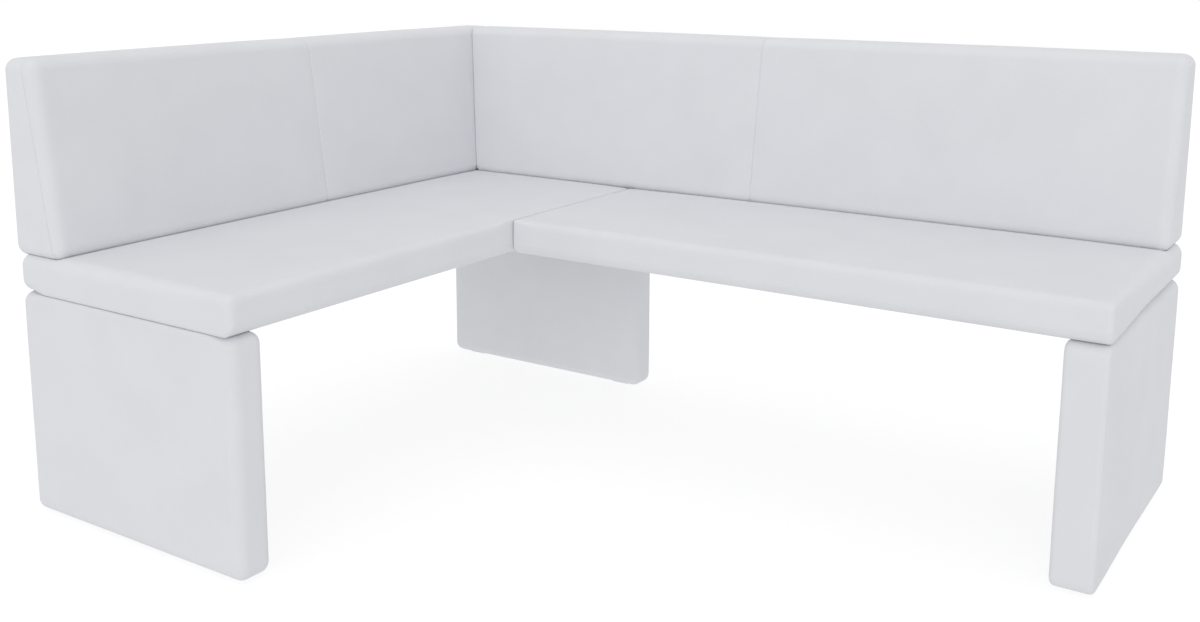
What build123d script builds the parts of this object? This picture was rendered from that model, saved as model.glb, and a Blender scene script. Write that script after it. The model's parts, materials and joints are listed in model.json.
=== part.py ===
from build123d import *

import math
import os

# Upholstered corner bench: two slab seats meet in an L, stand on three panel legs and carry two
# wedge-shaped backrests. Every slab is a timber frame with foam around it and a sewn cover on top.
#
# Millimetres, +Z up. +X runs along the long arm to its free end, +Y towards the wall behind it.
# The origin is on the floor under the middle of the bench's bounding box.
#
# Each arm is drawn in its own axes: u runs along the seat, w from its front edge to its wall side.
# The short arm's u runs from its free end to the corner, the long arm's from the joint to its free end.

# Plan and heights
LONG_RUN = 1680.0  # short arm's wall side to the long arm's free end
SHORT_RUN = 1274.0  # short arm's free end to the wall side of the seats
SEAT_DEPTH = 547.0
SEAT_THICKNESS = 70.0
LEG_THICKNESS = 70.0
LEG_HEIGHT = 409.0
GLIDE_HEIGHT = 4.0

# Backrests
BACK_HEIGHT = 350.0
BACK_FOOT = 133.0  # thickness at the foot
BACK_CREST = 86.0  # thickness at the top, so the front leans back
BACK_OVERHANG = 17.0  # how far a backrest stands out behind its seat
BACK_SETBACK = 4.5  # free end of a backrest, in from the end of its seat
BACK_SINK = 8.0  # how far the bolts draw a backrest into the seat's padding

# Soft edges
SEAT_EDGE = 23.0
LEG_EDGE = 22.0
BACK_EDGE = 22.0
JOINT_EDGE = 5.0  # where the two seats press together
CORNER_EDGE = 10.0  # long backrest's end at the corner
PRINT_BEVEL = 0.45  # bevel of the hollow under a backrest, as a share of its soft edge

# Sewn seams
SEAM_WIDTH = 3.0
SEAM_DEPTH = 1.7
SHORT_SEAM = 653.5  # from the short backrest's free end
LONG_SEAM = 827.5  # from the long backrest's free end
SEAM_STOP = 30.0  # a front seam ends this far from the wall side
END_SEAM_FOOT = 18.0  # end seam behind the front face, at the foot
END_SEAM_CREST = 30.0  # and at the top

# Cover and padding
COVER = 2.5  # faux leather with its fleece
SEAT_PAD = 23.0
SIDE_PAD = 9.0
UNDER_PAD = 4.0
LEG_PAD = 9.5
LEG_END_PAD = 6.0
BACK_PAD = 24.0
BACK_TOP_PAD = 11.0
BACK_FOOT_PAD = 9.0
BACK_END_PAD = 20.0
LEAST_PAD = 2.0  # least foam over a frame's corners

# Frames
DECK = 9.0
RAIL_WIDTH = 32.0
LEG_PANEL = 12.0
LEG_RAIL = 45.0
BACK_RAIL = 22.0
RIB = 18.0
RIB_PITCH = 420.0
FRONT_PANEL = 4.0
REAR_PANEL = 5.0
REAR_MARGIN = 35.0  # cover turned in round a backrest's rear panel
LEG_MARGIN = 25.0  # cover turned in on top of a leg
LINING = 0.8  # cloth under a seat
LINING_LAP = 2.0

# Fastenings
BRACKET_ARM = 50.0
BRACKET_WIDTH = 40.0
BRACKET_THICKNESS = 3.0
BRACKET_BEND = 3.0
BRACKET_INSET = 130.0  # bracket's middle from the seat's front and wall sides
BRACKET_RAIL = 60.0  # width of the seat rail above a bracket
BOLT_RADIUS = 4.0
BOLT_HEAD = 5.3
BOLT_HEAD_RADIUS = 7.5
BOLT_SPARE = 3.0  # bolt standing out of its nut
WASHER_WIDTH = 24.0
WASHER = 1.6
NUT_PLATE = 3.0
NUT_PLATE_WIDTH = 26.0
PLATE_WIDTH = 50.0
PLATE = 4.0
PLATE_COUNT = 3
PLATE_INSET = 100.0  # first plate's middle from the seats' front edges, so that none shows
GLIDE_LENGTH = 40.0
GLIDE_WIDTH = 24.0
GLIDE_INSET = 60.0

# Clearances
CONTACT = 0.3  # between one soft piece and another
SLIP = 0.2  # around a shank in its hole
CORNER_GAP = 0.6  # between the backrests at the corner
JOINT_GAP = 0.6  # between the seats

# Levels
SEAT_BOTTOM = GLIDE_HEIGHT + LEG_HEIGHT
SEAT_TOP = SEAT_BOTTOM + SEAT_THICKNESS
BACK_BOTTOM = SEAT_TOP - BACK_SINK
BACK_TOP = BACK_BOTTOM + BACK_HEIGHT
FRAME_BOTTOM = SEAT_BOTTOM + COVER + UNDER_PAD
DECK_TOP = SEAT_TOP - COVER - SEAT_PAD
DECK_BOTTOM = DECK_TOP - DECK
BACK_FRAME_BOTTOM = BACK_BOTTOM + COVER + BACK_FOOT_PAD
BACK_FRAME_TOP = BACK_TOP - COVER - BACK_TOP_PAD

# Plan of the two arms
X_LEFT = -(LONG_RUN - BACK_OVERHANG) / 2
Y_FRONT = -(SHORT_RUN + BACK_OVERHANG) / 2
X_JOINT = X_LEFT + SEAT_DEPTH
Y_JOINT = Y_FRONT + SHORT_RUN - SEAT_DEPTH
LONG_LENGTH = LONG_RUN - SEAT_DEPTH
WALL = SEAT_DEPTH + BACK_OVERHANG
SIDE = COVER + SIDE_PAD
RETURN = SIDE + RAIL_WIDTH  # cover turned in under a seat, as wide as its rails
BOLT_LINE = SEAT_DEPTH - SIDE - RAIL_WIDTH / 2
CORE = COVER + LEAST_PAD

SHORT = Location((X_JOINT, Y_FRONT, 0), (0, 0, 90))
LONG = Location((X_JOINT, Y_JOINT, 0))

TINY = 0.01
EASE = 0.02  # keeps the faces of crossed extrusions from coinciding


def block(u0, u1, w0, w1, z0, z1):
    """Box between the given limits."""
    return Pos((u0 + u1) / 2, (w0 + w1) / 2, (z0 + z1) / 2) * Box(u1 - u0, w1 - w0, z1 - z0)


def prism(outline, u0, u1):
    """Outline drawn in w and z, drawn out along u."""
    return Pos(u0, 0, 0) * extrude(Plane.YZ * outline, u1 - u0)


def rod(radius, start, axis, length):
    """Round bar from a point along an axis."""
    return extrude(Plane(start, z_dir=axis) * Circle(radius), length)


def soft_face(corners, radii):
    """Polygon with each corner rounded by its own radius."""
    face = make_face(Polyline(*corners, close=True))
    for corner, radius in zip(corners, radii):
        face = fillet(face.vertices().sort_by_distance(corner)[0], radius)
    return face


def soft_rectangle(a0, a1, b0, b1, start, end):
    """Rectangle with one corner radius at the start of its first axis and another at its end."""
    return soft_face([(a0, b0), (a1, b0), (a1, b1), (a0, b1)], [start, end, end, start])


def along(face):
    """Face drawn in w and z, drawn out along u past both ends of either arm."""
    return prism(face, -LONG_RUN - SHORT_RUN, LONG_RUN + SHORT_RUN)


def across(face):
    """Face drawn in u and z, drawn out across w."""
    return extrude(Plane.XZ * face, 2 * WALL, both=True)


def upward(face):
    """Face drawn in u and w, drawn up from the floor."""
    return extrude(face, 2 * BACK_TOP)


# Seats. Every soft form is what a cross-section, a side and a plan have in common when drawn out


def seat_section(inset, front):
    """Cross-section of a seat in w and z, with its front edges rounded by the given radius."""
    low = SEAT_BOTTOM + inset
    high = SEAT_TOP - inset
    return soft_rectangle(inset, SEAT_DEPTH - inset, low, high, front - inset, SEAT_EDGE - inset)


def seat_side(u0, u1, inset, first, last):
    """Side of a seat in u and z, with a radius at each end."""
    low = SEAT_BOTTOM + inset - EASE
    high = SEAT_TOP - inset + EASE
    return soft_rectangle(u0, u1, low, high, first - inset, last - inset)


def seat_plan(u0, u1, inset, radii):
    """Plan of a seat in u and w, with a radius at each corner."""
    near = inset - EASE
    far = SEAT_DEPTH - inset + EASE
    corners = [(u0 - EASE, near), (u1 + EASE, near), (u1 + EASE, far), (u0 - EASE, far)]
    return soft_face(corners, [radius - inset for radius in radii])


def short_seat_form(inset):
    """Short seat, soft-edged except where the long seat presses against it."""
    split = SHORT_RUN - SEAT_DEPTH + SEAT_EDGE / 2
    start = inset
    end = SHORT_RUN - inset
    seat = prism(seat_section(inset, SEAT_EDGE), -SEAT_EDGE, split)
    seat += prism(seat_section(inset, JOINT_EDGE), split, SHORT_RUN + SEAT_EDGE)
    side = seat_side(start, end, inset, SEAT_EDGE, SEAT_EDGE)
    plan = seat_plan(start, end, inset, [SEAT_EDGE, JOINT_EDGE, SEAT_EDGE, SEAT_EDGE])
    return SHORT * (seat & across(side) & upward(plan))


def long_seat_form(inset):
    """Long seat, soft-edged except at the end that meets the short seat."""
    start = JOINT_GAP + inset
    end = LONG_LENGTH - inset
    side = seat_side(start, end, inset, JOINT_EDGE, SEAT_EDGE)
    plan = seat_plan(start, end, inset, [JOINT_EDGE, SEAT_EDGE, SEAT_EDGE, JOINT_EDGE])
    return LONG * (along(seat_section(inset, SEAT_EDGE)) & across(side) & upward(plan))


# Legs


def leg_form(place, start, inset):
    """Leg with soft edges all round, starting at a place along u."""
    soft = LEG_EDGE - inset
    u0 = start + inset
    u1 = start + LEG_THICKNESS - inset
    w0 = inset
    w1 = SEAT_DEPTH - inset
    z0 = GLIDE_HEIGHT + inset
    z1 = SEAT_BOTTOM - inset
    section = soft_rectangle(w0, w1, z0, z1, soft, soft)
    side = soft_rectangle(u0, u1, z0 - EASE, z1 + EASE, soft, soft)
    plan = soft_rectangle(u0 - EASE, u1 + EASE, w0 - EASE, w1 + EASE, soft, soft)
    return place * (along(section) & across(side) & upward(plan))


# Backrests


def reach(z, inset):
    """Front face of a backrest at a height, as a distance from its wall side."""
    slope = (BACK_FOOT - BACK_CREST) / BACK_HEIGHT
    return BACK_FOOT - (z - BACK_BOTTOM) * slope - inset * math.hypot(1, slope)


def wedge_corners(z0, z1, front, rear):
    """Part of a backrest's cross-section between two heights, set in from its front and wall sides."""
    return [
        (WALL - rear, z0),
        (WALL - reach(z0, front), z0),
        (WALL - reach(z1, front), z1),
        (WALL - rear, z1),
    ]


def wedge(z0, z1, front, rear):
    """That part of the cross-section as a face."""
    return make_face(Polyline(*wedge_corners(z0, z1, front, rear), close=True))


def back_corners(inset):
    """Corners of a backrest's whole cross-section."""
    return wedge_corners(BACK_BOTTOM + inset, BACK_TOP - inset, inset, inset)


def back_section(inset):
    """Whole cross-section of a backrest with soft corners."""
    return soft_face(back_corners(inset), [BACK_EDGE - inset] * 4)


def corner_line(z, inset):
    """End of the long backrest at a height, along its own u: it follows the short backrest's front."""
    return reach(z, -CORNER_GAP - inset) - WALL


def back_side(start_low, start_high, end, low, high):
    """Corners of a backrest in u and z."""
    return [(start_low, low), (end, low), (end, high), (start_high, high)]


def short_back_side(inset, ease):
    """Corners of the short backrest's side. It runs into the corner."""
    start = BACK_SETBACK + inset
    end = SHORT_RUN + BACK_OVERHANG - inset
    return back_side(start, start, end, BACK_BOTTOM + inset - ease, BACK_TOP - inset + ease)


def long_back_side(inset, ease):
    """Corners of the long backrest's side. Its corner end leans as the short backrest's front does."""
    low = BACK_BOTTOM + inset - ease
    high = BACK_TOP - inset + ease
    end = LONG_LENGTH - BACK_SETBACK - inset
    return back_side(corner_line(low, inset), corner_line(high, inset), end, low, high)


def back_sharp(side, inset):
    """Backrest before its edges are softened."""
    section = make_face(Polyline(*back_corners(inset), close=True))
    return along(section) & across(make_face(Polyline(*side, close=True)))


def short_back_sharp(inset):
    """Short backrest before its edges are softened."""
    return back_sharp(short_back_side(inset, EASE), inset)


def long_back_sharp(inset):
    """Long backrest before its edges are softened."""
    return back_sharp(long_back_side(inset, EASE), inset)


def upright_edges(back, low, high):
    """Edges that stand up at an end of a backrest, between two limits along u."""
    standing = [edge for edge in back.edges() if edge.bounding_box().size.Z > BACK_HEIGHT / 2]
    return [edge for edge in standing if low < edge.center().X < high]


def short_back_base(inset):
    """Short backrest with soft edges all round."""
    soft = BACK_EDGE - inset
    side = soft_face(short_back_side(inset, EASE), [soft] * 4)
    sharp = short_back_sharp(inset - EASE)
    ends = fillet(upright_edges(sharp, 0, WALL + SHORT_RUN), soft)
    return SHORT * (along(back_section(inset)) & across(side) & ends)


def long_back_base(inset):
    """Long backrest with soft edges, tighter at the corner."""
    soft = BACK_EDGE - inset
    tight = CORNER_EDGE - inset
    side = soft_face(long_back_side(inset, EASE), [tight, soft, soft, tight])
    sharp = long_back_sharp(inset - EASE)
    ends = fillet(upright_edges(sharp, 0, LONG_LENGTH), soft)
    ends = fillet(upright_edges(ends, -WALL, 0), tight)
    return LONG * (along(back_section(inset)) & across(side) & ends)


def foot_edges(back):
    """Lowest edges of a backrest, apart from the one at the long backrest's corner end."""
    return [edge for edge in back.edges().group_by(Axis.Z)[0] if edge.center().X > -BACK_FOOT]


def short_back_print(grow):
    """Hollow that the short backrest presses into a seat, bevelled under its soft edges."""
    sharp = short_back_sharp(-grow)
    return SHORT * chamfer(foot_edges(sharp), BACK_EDGE * PRINT_BEVEL)


def long_back_print(grow):
    """Hollow that the long backrest presses into the seats."""
    sharp = long_back_sharp(-grow)
    return LONG * chamfer(foot_edges(sharp), BACK_EDGE * PRINT_BEVEL)


def front_slot(u):
    """Space that a seam takes across a backrest's front and top, deeper than it is drawn in."""
    half = SEAM_WIDTH / 2
    near = WALL - 2 * BACK_FOOT
    far = WALL - SEAM_STOP
    return block(u - half, u + half, near, far, BACK_BOTTOM - BACK_SINK, BACK_TOP + BACK_SINK)


def end_slot(u0, u1):
    """Space that a seam takes on a backrest's end, leaning a little more than the front face."""
    half = SEAM_WIDTH / 2
    foot = WALL - reach(BACK_BOTTOM, END_SEAM_FOOT)
    crest = WALL - reach(BACK_TOP, END_SEAM_CREST)
    corners = (
        (foot - half, BACK_BOTTOM),
        (foot + half, BACK_BOTTOM),
        (crest + half, BACK_TOP),
        (crest - half, BACK_TOP),
    )
    return prism(make_face(Polyline(*corners, close=True)), u0, u1)


def short_back_form():
    """Short backrest with its seams drawn in."""
    slots = front_slot(BACK_SETBACK + SHORT_SEAM)
    slots += end_slot(0, BACK_SETBACK + BACK_EDGE)
    return short_back_base(0) - (SHORT * slots - short_back_base(SEAM_DEPTH))


def long_back_form():
    """Long backrest with its seams drawn in."""
    end = LONG_LENGTH - BACK_SETBACK
    slots = front_slot(end - LONG_SEAM)
    slots += end_slot(end - BACK_EDGE, LONG_LENGTH)
    return long_back_base(0) - (LONG * slots - long_back_base(SEAM_DEPTH))


# Each arm's lengths: seat, leg positions, and where its backrest's frame starts and ends

BACK_END = BACK_END_PAD + COVER
SHORT_LEGS = {"front_leg": 0.0, "corner_leg": SHORT_RUN - LEG_THICKNESS}
LONG_LEGS = {"right_leg": LONG_LENGTH - LEG_THICKNESS}
SHORT_FRAME = (BACK_SETBACK + BACK_END, SHORT_RUN + BACK_OVERHANG - BACK_END)
LONG_FRAME = (corner_line(BACK_BOTTOM, 0) + BACK_END, LONG_LENGTH - BACK_SETBACK - BACK_END)


def bay_count(frame):
    """Number of bays between a backrest's ribs."""
    return max(1, round((frame[1] - frame[0] - RIB) / RIB_PITCH))


def rib_places(frame):
    """Start of each rib along a backrest."""
    count = bay_count(frame)
    pitch = (frame[1] - frame[0] - RIB) / count
    return [frame[0] + pitch * i for i in range(count + 1)]


def bolt_places(frame, low, high):
    """Middles of the first and last bays that have a seat rail under them and no leg."""
    starts = rib_places(frame)
    middles = [(a + b + RIB) / 2 for a, b in zip(starts, starts[1:])]
    clear = [u for u in middles if low + WASHER_WIDTH < u < high - WASHER_WIDTH]
    return [clear[0], clear[-1]]


SHORT_BOLTS = bolt_places(SHORT_FRAME, LEG_THICKNESS, SHORT_RUN - LEG_THICKNESS)
LONG_BOLTS = bolt_places(LONG_FRAME, RETURN, LONG_LENGTH - LEG_THICKNESS)
BOLTS = [SHORT * Pos(u, BOLT_LINE, 0) for u in SHORT_BOLTS]
BOLTS += [LONG * Pos(u, BOLT_LINE, 0) for u in LONG_BOLTS]


# Bolts that hold the backrests down


NUT_SEAT = BACK_FRAME_BOTTOM + BACK_RAIL
BOLT_HOLE = BOLT_RADIUS + SLIP
BOLT_TOP = NUT_SEAT + NUT_PLATE + BOLT_SPARE
BORE = rod(BOLT_HOLE, (0, 0, SEAT_BOTTOM), (0, 0, 1), NUT_SEAT - SEAT_BOTTOM)  # through timber
SLIT = block(-BOLT_HOLE, BOLT_HOLE, -BOLT_HOLE, BOLT_HOLE, SEAT_BOTTOM, NUT_SEAT)  # through foam and cover
BORES = [place * BORE for place in BOLTS]
SLITS = [place * SLIT for place in BOLTS]


def back_bolt():
    """Hexagon bolt pointing up, its head under the washer."""
    head_top = SEAT_BOTTOM - WASHER
    head = Pos(0, 0, head_top - BOLT_HEAD) * extrude(RegularPolygon(BOLT_HEAD_RADIUS, 6), BOLT_HEAD)
    return head + rod(BOLT_RADIUS, (0, 0, head_top), (0, 0, 1), BOLT_TOP - head_top)


def back_washer():
    """Wide square washer between a bolt's head and the seat's cover."""
    outline = Rectangle(WASHER_WIDTH, WASHER_WIDTH) - Circle(BOLT_HOLE)
    return Pos(0, 0, SEAT_BOTTOM - WASHER) * extrude(outline, WASHER)


def nut_plate():
    """Square nut on top of a backrest's foot rail."""
    outline = Rectangle(NUT_PLATE_WIDTH, NUT_PLATE_WIDTH) - Circle(BOLT_HOLE)
    return Pos(0, 0, NUT_SEAT) * extrude(outline, NUT_PLATE)


# Brackets between legs and seats


def bracket_seats():
    """Place of each bracket: its corner at the leg's inner face, local X pointing away from the leg."""
    seats = []
    for w in (BRACKET_INSET, SEAT_DEPTH - BRACKET_INSET):
        seats.append(SHORT * Pos(LEG_THICKNESS, w, 0))
        seats.append(SHORT * Location((SHORT_RUN - LEG_THICKNESS, w, 0), (0, 0, 180)))
        seats.append(LONG * Location((LONG_LENGTH - LEG_THICKNESS, w, 0), (0, 0, 180)))
    return seats


BRACKET_TOP = SEAT_BOTTOM - LINING


def bracket():
    """Steel angle with a rounded bend."""
    top = BRACKET_TOP
    inner = BRACKET_THICKNESS
    outline = Polyline(
        (0, top),
        (BRACKET_ARM, top),
        (BRACKET_ARM, top - inner),
        (inner, top - inner),
        (inner, top - BRACKET_ARM),
        (0, top - BRACKET_ARM),
        close=True,
    )
    angle = extrude(Plane.XZ * make_face(outline), BRACKET_WIDTH / 2, both=True)
    bend = [edge for edge in angle.edges().filter_by(Axis.Y) if in_bend(edge.center())]
    return fillet(bend, BRACKET_BEND)


def in_bend(middle):
    """True for a point inside the square where a bracket's two arms meet."""
    reach_in = BRACKET_THICKNESS + TINY
    return middle.X < reach_in and middle.Z > BRACKET_TOP - reach_in


# Plates under the joint of the two seats

PLATE_HALF = RETURN - LINING_LAP - CONTACT
PLATE_RUN = SEAT_DEPTH - LEG_THICKNESS - SEAT_EDGE - PLATE_WIDTH / 2 - PLATE_INSET


def plate_places():
    """Middle of each plate along the joint, from the first to one that is clear of the corner leg."""
    pitch = PLATE_RUN / (PLATE_COUNT - 1)
    return [Pos(X_JOINT, Y_JOINT + PLATE_INSET + pitch * i, 0) for i in range(PLATE_COUNT)]


def joint_plate():
    """Flat steel plate that spans the turned-in covers on both sides of the joint."""
    return Pos(0, 0, SEAT_BOTTOM - PLATE / 2) * Box(2 * PLATE_HALF, PLATE_WIDTH, PLATE)


# Glides under the legs


def glide():
    """Flat plastic pad, longer along the leg than across it."""
    return Pos(0, 0, GLIDE_HEIGHT / 2) * Box(GLIDE_WIDTH, GLIDE_LENGTH, GLIDE_HEIGHT)


def glide_places():
    """Two glides under each leg."""
    places = []
    for w in (GLIDE_INSET, SEAT_DEPTH - GLIDE_INSET):
        places += [SHORT * Pos(u + LEG_THICKNESS / 2, w, 0) for u in SHORT_LEGS.values()]
        places += [LONG * Pos(u + LEG_THICKNESS / 2, w, 0) for u in LONG_LEGS.values()]
    return places


# Assemblies


def seat_parts(name, place, form, length, rails, lining, prints):
    """Pieces of one seat. Rails are the limits of its cross rails along u, lining those of its cloth."""
    hollow = [back_print(CONTACT) for back_print in prints]
    deeper = [back_print(CONTACT + COVER) for back_print in prints]
    inner = form(COVER) - deeper
    core_form = form(CORE)
    wall = SEAT_DEPTH - SIDE
    turned = SEAT_DEPTH - RETURN
    below = place * block(RETURN, length - RETURN, RETURN, turned, SEAT_BOTTOM - TINY, FRAME_BOTTOM)
    core = place * block(SIDE, length - SIDE, SIDE, wall, FRAME_BOTTOM, DECK_TOP) & core_form

    def timber(u0, u1, w0, w1, z0, z1):
        return (place * block(u0, u1, w0, w1, z0, z1) & core_form) - BORES

    ends = [(SIDE, RETURN), (length - RETURN, length - SIDE)]
    lap = RETURN - LINING_LAP
    cloth = block(*lining, lap, SEAT_DEPTH - lap, SEAT_BOTTOM - LINING, SEAT_BOTTOM)
    return {
        f"{name}_seat_cover": form(0) - hollow - inner - below - SLITS,
        f"{name}_seat_foam": inner - core - below - SLITS,
        f"{name}_seat_deck": timber(SIDE, length - SIDE, SIDE, wall, DECK_BOTTOM, DECK_TOP),
        f"{name}_seat_front_rail": timber(SIDE, length - SIDE, SIDE, RETURN, FRAME_BOTTOM, DECK_BOTTOM),
        f"{name}_seat_wall_rail": timber(SIDE, length - SIDE, turned, wall, FRAME_BOTTOM, DECK_BOTTOM),
        f"{name}_seat_end_rails": [
            timber(u0, u1, RETURN, turned, FRAME_BOTTOM, DECK_BOTTOM) for u0, u1 in ends
        ],
        f"{name}_seat_cross_rails": [
            place * block(u0, u1, RETURN, turned, SEAT_BOTTOM, DECK_BOTTOM) for u0, u1 in rails
        ],
        f"{name}_seat_lining": place * cloth,
    }


def back_parts(name, place, form, base, ends, frame):
    """Pieces of one backrest. Ends are the limits of its rear face along u, frame those of its timber."""
    inner = base(COVER)
    core_form = base(CORE)
    u0, u1 = frame
    low = BACK_FRAME_BOTTOM
    high = BACK_FRAME_TOP
    skin = COVER + BACK_PAD
    behind = skin + FRONT_PANEL
    opening = place * block(
        ends[0] + REAR_MARGIN,
        ends[1] - REAR_MARGIN,
        WALL - REAR_PANEL,
        WALL + TINY,
        BACK_BOTTOM + REAR_MARGIN,
        BACK_TOP - REAR_MARGIN,
    )
    panel = place * block(
        ends[0] + REAR_MARGIN + CONTACT,
        ends[1] - REAR_MARGIN - CONTACT,
        WALL - REAR_PANEL,
        WALL,
        BACK_BOTTOM + REAR_MARGIN + CONTACT,
        BACK_TOP - REAR_MARGIN - CONTACT,
    )
    core = place * prism(wedge(low, high, skin, REAR_PANEL), u0, u1) & core_form
    sheet = wedge(low, high, skin, REAR_PANEL) - wedge(low, high, behind, 0)
    rib = wedge(low + BACK_RAIL, high - BACK_RAIL, behind, REAR_PANEL)
    foot_rail = place * prism(wedge(low, low + BACK_RAIL, behind, REAR_PANEL), u0, u1) & core_form
    top_rail = place * prism(wedge(high - BACK_RAIL, high, behind, REAR_PANEL), u0, u1) & core_form
    return {
        f"{name}_back_cover": form() - inner - opening - SLITS,
        f"{name}_back_foam": inner - core - opening - SLITS,
        f"{name}_back_front_panel": place * prism(sheet, u0, u1) & core_form,
        f"{name}_back_rear_panel": panel,
        f"{name}_back_foot_rail": foot_rail - BORES,
        f"{name}_back_top_rail": top_rail,
        f"{name}_back_ribs": [place * prism(rib, start, start + RIB) for start in rib_places(frame)],
    }


def leg_parts(name, place, start):
    """Pieces of one leg: two panels with rails and stiles between them, foam round them and a cover."""
    low = GLIDE_HEIGHT
    high = SEAT_BOTTOM
    end = start + LEG_THICKNESS
    skin = COVER + LEG_PAD
    cap = COVER + LEG_END_PAD
    hollow = skin + LEG_PANEL
    inner = leg_form(place, start, COVER)
    core_form = leg_form(place, start, CORE)

    def timber(u0, u1, w0, w1, z0, z1):
        return place * block(u0, u1, w0, w1, z0, z1) & core_form

    wall = SEAT_DEPTH - skin
    top = place * block(
        start + LEG_MARGIN, end - LEG_MARGIN, LEG_MARGIN, SEAT_DEPTH - LEG_MARGIN, high - cap, high + TINY
    )
    core = place * block(start + skin, end - skin, skin, wall, low + cap, high - cap) & core_form
    inside = (start + hollow, end - hollow)
    stiles = [(skin, skin + LEG_RAIL), (wall - LEG_RAIL, wall)]
    panels = [(start + skin, start + hollow), (end - hollow, end - skin)]
    return {
        f"{name}_cover": leg_form(place, start, 0) - inner - top,
        f"{name}_foam": inner - core - top,
        f"{name}_panels": [timber(u0, u1, skin, wall, low + cap, high - cap) for u0, u1 in panels],
        f"{name}_top_rail": timber(*inside, skin, wall, high - cap - LEG_RAIL, high - cap),
        f"{name}_foot_rail": timber(*inside, skin, wall, low + cap, low + cap + LEG_RAIL),
        f"{name}_stiles": [
            timber(*inside, w0, w1, low + cap + LEG_RAIL, high - cap - LEG_RAIL) for w0, w1 in stiles
        ],
    }


def cross_rail_limits(low, high, count):
    """Evenly spaced plain cross rails between two limits along u."""
    pitch = (high - low) / (count + 1)
    middles = [low + pitch * (i + 1) for i in range(count)]
    return [(u - RAIL_WIDTH / 2, u + RAIL_WIDTH / 2) for u in middles]


def all_parts():
    """Every piece of the bench by name. A list holds the separate solids of one group."""
    parts = {}
    short_rails = [
        (LEG_THICKNESS, LEG_THICKNESS + BRACKET_RAIL),
        (SHORT_RUN - LEG_THICKNESS - BRACKET_RAIL, SHORT_RUN - LEG_THICKNESS),
    ]
    short_rails += cross_rail_limits(short_rails[0][1], short_rails[1][0], 1)
    long_rails = [(LONG_LENGTH - LEG_THICKNESS - BRACKET_RAIL, LONG_LENGTH - LEG_THICKNESS)]
    long_rails += cross_rail_limits(RETURN, long_rails[0][0], 2)
    short_lining = (LEG_THICKNESS + CONTACT, SHORT_RUN - LEG_THICKNESS - CONTACT)
    long_lining = (RETURN - LINING_LAP, LONG_LENGTH - LEG_THICKNESS - CONTACT)
    parts |= seat_parts(
        "short",
        SHORT,
        short_seat_form,
        SHORT_RUN,
        short_rails,
        short_lining,
        [short_back_print, long_back_print],
    )
    parts |= seat_parts(
        "long",
        LONG,
        long_seat_form,
        LONG_LENGTH,
        long_rails,
        long_lining,
        [long_back_print],
    )
    short_ends = (BACK_SETBACK, SHORT_RUN + BACK_OVERHANG)
    long_ends = (corner_line(BACK_BOTTOM, 0), LONG_LENGTH - BACK_SETBACK)
    parts |= back_parts("short", SHORT, short_back_form, short_back_base, short_ends, SHORT_FRAME)
    parts |= back_parts("long", LONG, long_back_form, long_back_base, long_ends, LONG_FRAME)
    for name, start in SHORT_LEGS.items():
        parts |= leg_parts(name, SHORT, start)
    for name, start in LONG_LEGS.items():
        parts |= leg_parts(name, LONG, start)
    parts["glides"] = [place * glide() for place in glide_places()]
    parts["leg_brackets"] = [place * bracket() for place in bracket_seats()]
    parts["joint_plates"] = [place * joint_plate() for place in plate_places()]
    parts["back_bolts"] = [place * back_bolt() for place in BOLTS]
    parts["back_washers"] = [place * back_washer() for place in BOLTS]
    parts["back_nut_plates"] = [place * nut_plate() for place in BOLTS]
    return parts


os.makedirs("parts", exist_ok=True)
for node, shape in all_parts().items():
    pieces = shape if isinstance(shape, list) else [shape]
    solids = [solid for piece in pieces for solid in piece.solids()]
    export_step(solids[0] if len(solids) == 1 else Compound(children=solids), f"parts/{node}.step")
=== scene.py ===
import json
import math

import bpy
import numpy as np
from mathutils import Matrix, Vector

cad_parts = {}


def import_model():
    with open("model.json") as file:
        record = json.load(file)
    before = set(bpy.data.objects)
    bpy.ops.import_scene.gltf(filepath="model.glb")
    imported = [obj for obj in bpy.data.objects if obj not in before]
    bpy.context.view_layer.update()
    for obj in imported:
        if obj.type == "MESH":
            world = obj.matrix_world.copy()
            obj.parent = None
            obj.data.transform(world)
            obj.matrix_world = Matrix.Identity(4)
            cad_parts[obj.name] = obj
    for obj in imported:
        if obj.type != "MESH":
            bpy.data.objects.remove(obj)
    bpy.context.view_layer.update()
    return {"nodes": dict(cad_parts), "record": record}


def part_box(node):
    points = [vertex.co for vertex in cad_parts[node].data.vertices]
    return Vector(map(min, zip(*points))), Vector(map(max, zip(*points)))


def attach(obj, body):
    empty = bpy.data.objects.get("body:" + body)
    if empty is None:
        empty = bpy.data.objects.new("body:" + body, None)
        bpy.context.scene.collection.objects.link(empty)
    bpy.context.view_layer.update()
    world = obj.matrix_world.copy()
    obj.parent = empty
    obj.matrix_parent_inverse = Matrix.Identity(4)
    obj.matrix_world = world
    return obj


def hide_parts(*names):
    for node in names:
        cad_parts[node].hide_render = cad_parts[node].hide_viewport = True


# Upholstered corner bench. Each slab is a soft closed mesh in place of its cover and foam, drawn in the
# axes of its own arm: u along the seat, w from the front edge to the wall side, z up. Metres throughout.

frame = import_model()
NODES = frame["nodes"]

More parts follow.
